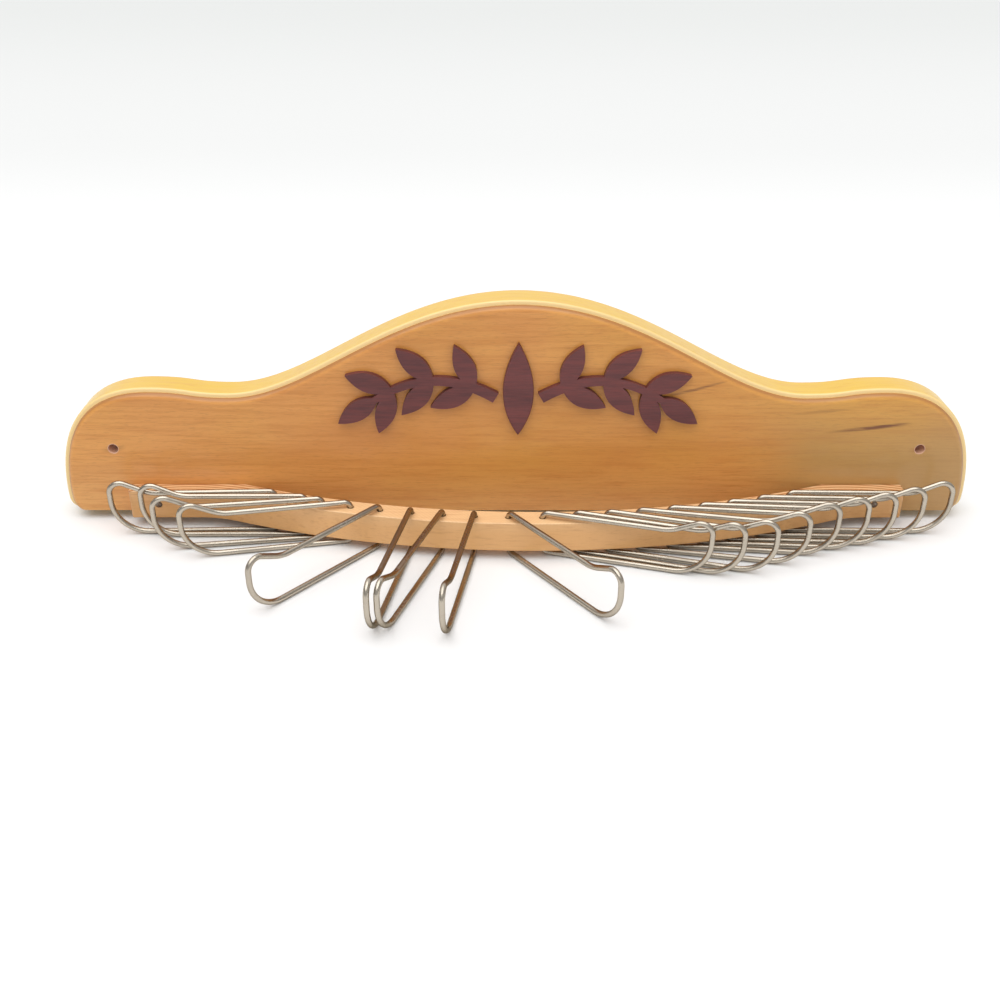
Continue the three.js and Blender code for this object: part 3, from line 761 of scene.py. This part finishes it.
class TIERACK_OT_nails(bpy.types.Operator):
    """Make the two nails in the rail's ends"""
    bl_idname = "tie_rack.nails"
    bl_label = "Rail nails"

    def execute(self, context):
        material = nail_steel(context.scene.tie_rack.colours)
        head = (NAIL_HIGH.z - NAIL_LOW.z) / 2
        sizes = context.scene.tie_rack.nail
        shank = sizes.shank_radius
        tall = sizes.head_height
        for name in ("rail_nail_left", "rail_nail_right"):
            low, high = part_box(name)
            axis_x = (low.x + high.x) / 2
            axis_z = (low.z + high.z) / 2
            seat = low.y + tall
            profile = [
                (0, high.y), (shank, high.y - 2 * shank), (shank, seat), (head, seat),
                (head, seat - 0.4 * tall), (0.8 * head, seat - 0.8 * tall), (0.45 * head, seat - tall),
                (0, seat - tall),
            ]
            bm = bmesh.new()
            verts = [bm.verts.new((axis_x + r, y, axis_z)) for r, y in profile]
            edges = [bm.edges.new(pair) for pair in zip(verts, verts[1:])]
            bmesh.ops.spin(
                bm, geom=[*verts, *edges], cent=(axis_x, 0, axis_z), axis=(0, 1, 0), angle=2 * math.pi,
                steps=24, use_merge=True, use_duplicate=False,
            )
            bmesh.ops.remove_doubles(bm, verts=bm.verts, dist=1e-6)
            finished(bm, name.replace("rail_nail", "nail"), material, RACK_BODY, [name])
        return {"FINISHED"}


def leaf_outline(long, wide, count):
    """A pointed leaf along +X from the origin, as points round it."""
    belly = 0.45 * long
    sides = []
    for sign, ends in ((-1, (0, long)), (1, (long, 0))):
        start, end = (Vector((x, 0)) for x in ends)
        middle = Vector((belly, sign * wide))
        sides += swept_points(start, middle, end, count)
    return sides


def slab(points, turn, at):
    """A flat piece of the overlay on the board's face, drawn as (x, z)."""
    bm = bmesh.new()
    spin = Matrix.Rotation(turn, 2)
    placed = [spin @ Vector((p.x, p.y)) + Vector(at) for p in points]
    back = bm.faces.new([bm.verts.new((p.x, LEAF_HIGH.y, p.y)) for p in placed])
    raised(bm, back, (0, LEAF_LOW.y - LEAF_HIGH.y, 0))
    bmesh.ops.recalc_face_normals(bm, faces=bm.faces)
    return bm


def eased_overlay(bm, radius):
    """Rounds the front edges of an overlay piece."""
    bmesh.ops.remove_doubles(bm, verts=bm.verts, dist=2e-5)
    bmesh.ops.dissolve_limit(bm, angle_limit=0.01, verts=bm.verts, edges=bm.edges)
    bmesh.ops.recalc_face_normals(bm, faces=bm.faces)
    front = [e for e in bm.edges if all(abs(v.co.y - LEAF_LOW.y) < ON_PLANE for v in e.verts) and is_sharp(e)]
    rounded(bm, front, radius, 3)


class TIERACK_OT_overlay(bpy.types.Operator):
    """Make the leaf overlay: a middle leaf between two sprigs"""
    bl_idname = "tie_rack.overlay"
    bl_label = "Leaf overlay"

    def execute(self, context):
        settings = context.scene.tie_rack
        sizes = settings.overlay
        material = red_wood(settings.colours)
        middle_z = (LEAF_LOW.z + LEAF_HIGH.z) / 2
        leaf = leaf_outline(LEAF_HIGH.z - LEAF_LOW.z, LEAF_HIGH.x - LEAF_LOW.x, 2 * sizes.curve_points)
        bm = slab(leaf, math.pi / 2, (0, LEAF_LOW.z))
        eased_overlay(bm, sizes.eased_edge)
        finished(bm, "middle_leaf", material, RACK_BODY, ["centre_leaf"])
        for name, side in (("sprig_left", -1), ("sprig_right", 1)):
            bm = self.sprig(sizes, side, middle_z)
            eased_overlay(bm, sizes.eased_edge)
            finished(bm, name + "_overlay", material, RACK_BODY, [name])
        return {"FINISHED"}

    def sprig(self, sizes, side, middle_z):
        start = sizes.sprig_start
        knots = [(start, -sizes.start_drop), (start + sizes.sprig_span / 3, sizes.arch),
                 (start + 2 * sizes.sprig_span / 3, sizes.arch), (start + sizes.sprig_span, -sizes.tip_drop)]
        knots = [(side * x, middle_z + z) for x, z in knots]
        stations = sizes.stem_points
        stem = interpolate_bezier(*(Vector((*knot, 0)) for knot in knots), stations)
        headings = [(b - a).normalized() for a, b in zip(stem, stem[1:])]
        headings.append(headings[-1])
        edges = {-1: [], 1: []}
        for index, (at, heading) in enumerate(zip(stem, headings)):
            part = index / (stations - 1)
            half = ((1 - part) * sizes.stem_width + part * sizes.stem_tip_width) / 2
            across = Vector((-heading.y, heading.x, 0))
            for sign in edges:
                edges[sign].append(at + sign * half * across)
        bm = slab(edges[-1] + edges[1][::-1], 0, (0, 0))
        leaf = leaf_outline(sizes.leaf_length, sizes.leaf_width, sizes.curve_points)
        places = [((pair + 0.5) / sizes.leaf_pairs, turn) for pair in range(sizes.leaf_pairs)
                  for turn in (sizes.leaf_angle, -sizes.leaf_angle)]
        places.append((1 - sizes.stem_tip_width / sizes.sprig_span, 0))
        for part, turn in places:
            index = round(part * (stations - 1))
            heading = math.atan2(headings[index].y, headings[index].x)
            bm = combined(bm, slab(leaf, heading + turn, stem[index].xy), "UNION")
        return bm


class WireBender:
    """Grows a round wire in the plane x = 0, by straight runs and bends, as a bending jig does."""

    def __init__(self, bm, diameter, sides, start, heading):
        self.bm = bm
        self.at = Vector(start)
        self.heading = Vector(heading)
        turn = self.heading.to_track_quat("Z", "Y").to_matrix().to_4x4()
        circle = bmesh.ops.create_circle(
            bm, cap_ends=False, segments=sides, radius=diameter / 2,
            matrix=Matrix.Translation(self.at) @ turn,
        )
        self.ring = list({edge for vert in circle["verts"] for edge in vert.link_edges})

    def run(self, distance):
        grown = bmesh.ops.extrude_edge_only(self.bm, edges=self.ring)["geom"]
        step = distance * self.heading
        bmesh.ops.translate(self.bm, verts=[v for v in grown if isinstance(v, bmesh.types.BMVert)], vec=step)
        self.ring = [e for e in grown if isinstance(e, bmesh.types.BMEdge)]
        self.at += step

    def bend(self, radius, turn, steps):
        """Bends about the X axis. A positive turn swings the heading from -Y towards -Z."""
        sign = math.copysign(1, turn)
        side = Matrix.Rotation(sign * math.pi / 2, 3, "X") @ self.heading
        centre = self.at + radius * side
        ring = [*self.ring, *{v for e in self.ring for v in e.verts}]
        grown = bmesh.ops.spin(
            self.bm, geom=ring, cent=centre, axis=(1, 0, 0), angle=turn, steps=steps, use_duplicate=False,
        )["geom_last"]
        self.ring = [e for e in grown if isinstance(e, bmesh.types.BMEdge)]
        swing = Matrix.Rotation(turn, 3, "X")
        self.at = centre + swing @ (self.at - centre)
        self.heading = swing @ self.heading


def hook_wire(sizes):
    """One hook, with its hole's axis on the Z axis and its tip towards -Y."""
    radius = sizes.wire / 2
    upper = RAIL_HIGH.z + sizes.gap_above + radius
    lower = RAIL_LOW.z - sizes.gap_below - radius
    crest_z = upper + sizes.crest_rise - sizes.crest_radius
    crest_x = sizes.reach - sizes.crest_radius
    slope = sizes.kink_angle
    swing = sizes.crest_radius * Vector((-math.sin(slope), math.cos(slope)))
    slope_end = Vector((crest_x, crest_z)) + swing
    tuck = sizes.kink_radius * math.tan(slope / 2)
    kink_x = slope_end.x - (slope_end.y - upper) / math.tan(slope)
    slope_run = (slope_end.y - upper) / math.sin(slope) - tuck
    elbow = sizes.elbow_radius
    quarter = math.pi / 2
    bm = bmesh.new()
    wire = WireBender(bm, sizes.wire, sizes.sides, (0, 0, RAIL_HIGH.z - sizes.stub), (0, 0, 1))
    wire.run(upper - elbow - wire.at.z)
    wire.bend(elbow, quarter, sizes.small_bend_steps)
    wire.run(kink_x - tuck - elbow)
    wire.bend(sizes.kink_radius, -slope, sizes.small_bend_steps)
    wire.run(slope_run)
    wire.bend(sizes.crest_radius, quarter + slope, sizes.large_bend_steps)
    wire.run(crest_z - lower - sizes.tip_radius)
    wire.bend(sizes.tip_radius, quarter, sizes.large_bend_steps)
    wire.run(sizes.reach - sizes.tip_radius - elbow)
    wire.bend(elbow, quarter, sizes.small_bend_steps)
    wire.run(RAIL_LOW.z + sizes.stub - wire.at.z)
    bmesh.ops.remove_doubles(bm, verts=bm.verts, dist=1e-6)
    bmesh.ops.holes_fill(bm, edges=[e for e in bm.edges if e.is_boundary])
    return bm


class TIERACK_OT_hooks(bpy.types.Operator):
    """Make the wire hooks, each turned as its solid is"""
    bl_idname = "tie_rack.hooks"
    bl_label = "Wire hooks"

    def execute(self, context):
        settings = context.scene.tie_rack
        material = nickel_wire(settings.colours)
        master = bpy.data.meshes.new("hook_master")
        wire = hook_wire(settings.hook)
        wire.to_mesh(master)
        wire.free()
        for node in HOOK_NODES:
            body = node + "_body"
            pivot = HOOK_PIVOTS[body]
            corners = [vert.co for vert in frame["nodes"][node].data.vertices]
            aim = sum(corners, Vector()) / len(corners) - pivot
            yaw = math.atan2(aim.x, -aim.y)
            bm = bmesh.new()
            bm.from_mesh(master)
            turn = Matrix.Translation((pivot.x, pivot.y, 0)) @ Matrix.Rotation(yaw, 4, "Z")
            bmesh.ops.transform(bm, matrix=turn, verts=bm.verts)
            finished(bm, node + "_wire", material, body, [node], 50)
        bpy.data.meshes.remove(master)
        return {"FINISHED"}


class TIERACK_OT_stage(bpy.types.Operator):
    """Make the floor, the light and the camera"""
    bl_idname = "tie_rack.stage"
    bl_label = "Stage"

    def execute(self, context):
        stage = context.scene.tie_rack.stage
        context.scene.view_settings.view_transform = "Standard"
        self.floor(stage)
        self.sky(context.scene, stage)
        self.lamp("key_lamp", stage.key_strength, stage.key_turn, stage.key_spread)
        self.lamp("fill_lamp", stage.fill_strength, stage.fill_turn, stage.fill_spread)
        self.camera(context.scene, stage)
        return {"FINISHED"}

    def floor(self, stage):
        bm = bmesh.new()
        bmesh.ops.create_grid(bm, x_segments=1, y_segments=1, size=stage.floor_width / 2)
        bmesh.ops.translate(bm, verts=bm.verts, vec=(0, 0, CAD_BOX[0][2] - stage.floor_gap))
        floor = scratch_object(bm, "floor")
        finish = Finish("pale_floor")
        darker = tuple(stage.bounce * value for value in stage.floor_colour)
        depth = finish.axis("Y")
        # The floor greys with distance behind the rack: painted fall-off of the light.
        shade = finish.blend(finish.fade(depth, 0.15, 0.95), stage.floor_colour, stage.middle_floor_shade)
        shade = finish.blend(finish.fade(depth, 0.7, 2.6), shade, stage.far_floor_shade)
        shade = finish.blend(finish.seen(), darker, shade)
        cloth = finish.node("ShaderNodeBsdfDiffuse", {}, {"Color": shade})
        finish.node("ShaderNodeOutputMaterial", {}, {"Surface": cloth})
        floor.data.materials.append(finish.material)

    def sky(self, scene, stage):
        """White behind the rack and darker towards the camera, as a room is in front of a white sweep."""
        world = bpy.data.worlds.new("white_room")
        world.use_nodes = True
        scene.world = world
        room = Nodes(world.node_tree)
        towards = room.node("ShaderNodeTexCoord", {}, {}, "Generated")
        depth = room.node("ShaderNodeSeparateXYZ", {}, {0: towards}, "Y")
        glossy = room.node("ShaderNodeLightPath", {}, {}, "Is Glossy Ray")
        white, dim, light = (
            room.node("ShaderNodeBackground", {}, {"Color": (1, 1, 1, 1), "Strength": strength})
            for strength in (1, stage.room_shade, stage.sky_strength)
        )
        mirrored_room = glossy * room.fade(depth, 0.55, -0.05)
        shown = room.node("ShaderNodeMixShader", {}, {0: mirrored_room, 1: white, 2: dim})
        mixed = room.node("ShaderNodeMixShader", {}, {0: room.seen(), 1: light, 2: shown})
        room.node("ShaderNodeOutputWorld", {}, {"Surface": mixed})

    def lamp(self, name, strength, turn, spread):
        light = bpy.data.lights.new(name, "SUN")
        light.energy = strength
        light.angle = spread
        lamp = bpy.data.objects.new(name, light)
        lamp.rotation_euler = turn
        bpy.context.scene.collection.objects.link(lamp)

    def camera(self, scene, stage):
        pitch, yaw, roll = stage.camera_pitch, stage.camera_yaw, stage.camera_roll
        forward = Vector((math.sin(yaw) * math.cos(pitch), math.cos(yaw) * math.cos(pitch), -math.sin(pitch)))
        level = forward.cross(Vector((0, 0, 1))).normalized()
        rise = level.cross(forward)
        right = math.cos(roll) * level + math.sin(roll) * rise
        up = math.cos(roll) * rise - math.sin(roll) * level
        view = Matrix((right, up, -forward)).transposed().to_4x4()
        data = bpy.data.cameras.new("photo_camera")
        data.sensor_fit = "HORIZONTAL"
        data.sensor_width = 36
        data.lens = stage.camera_lens
        data.clip_start = 0.01
        camera = bpy.data.objects.new("photo_camera", data)
        camera.matrix_world = Matrix.Translation(stage.camera_place) @ view
        scene.collection.objects.link(camera)
        scene.camera = camera


class TIERACK_PT_sidebar(bpy.types.Panel):
    """Lists the steps that make the rack"""
    bl_label = "Tie rack"
    bl_idname = "TIERACK_PT_sidebar"
    bl_space_type = "VIEW_3D"
    bl_region_type = "UI"
    bl_category = "Tie rack"

    def draw(self, context):
        for step in STEPS:
            self.layout.operator(step.bl_idname)


SETTINGS = [
    BoardSizes, RailSizes, NailSizes, HookSizes, OverlaySizes, RackColours, StageSettings, TieRackSettings,
]
STEPS = [
    TIERACK_OT_stage, TIERACK_OT_board, TIERACK_OT_rail, TIERACK_OT_nails, TIERACK_OT_overlay,
    TIERACK_OT_hooks,
]


def register():
    for part in [*SETTINGS, *STEPS, TIERACK_PT_sidebar]:
        bpy.utils.register_class(part)
    bpy.types.Scene.tie_rack = PointerProperty(type=TieRackSettings)


def unregister():
    del bpy.types.Scene.tie_rack
    for part in reversed([*SETTINGS, *STEPS, TIERACK_PT_sidebar]):
        bpy.utils.unregister_class(part)


def main():
    register()
    bpy.ops.tie_rack.stage()
    bpy.ops.tie_rack.board()
    bpy.ops.tie_rack.rail()
    bpy.ops.tie_rack.nails()
    bpy.ops.tie_rack.overlay()
    bpy.ops.tie_rack.hooks()


if __name__ == "__main__":
    main()
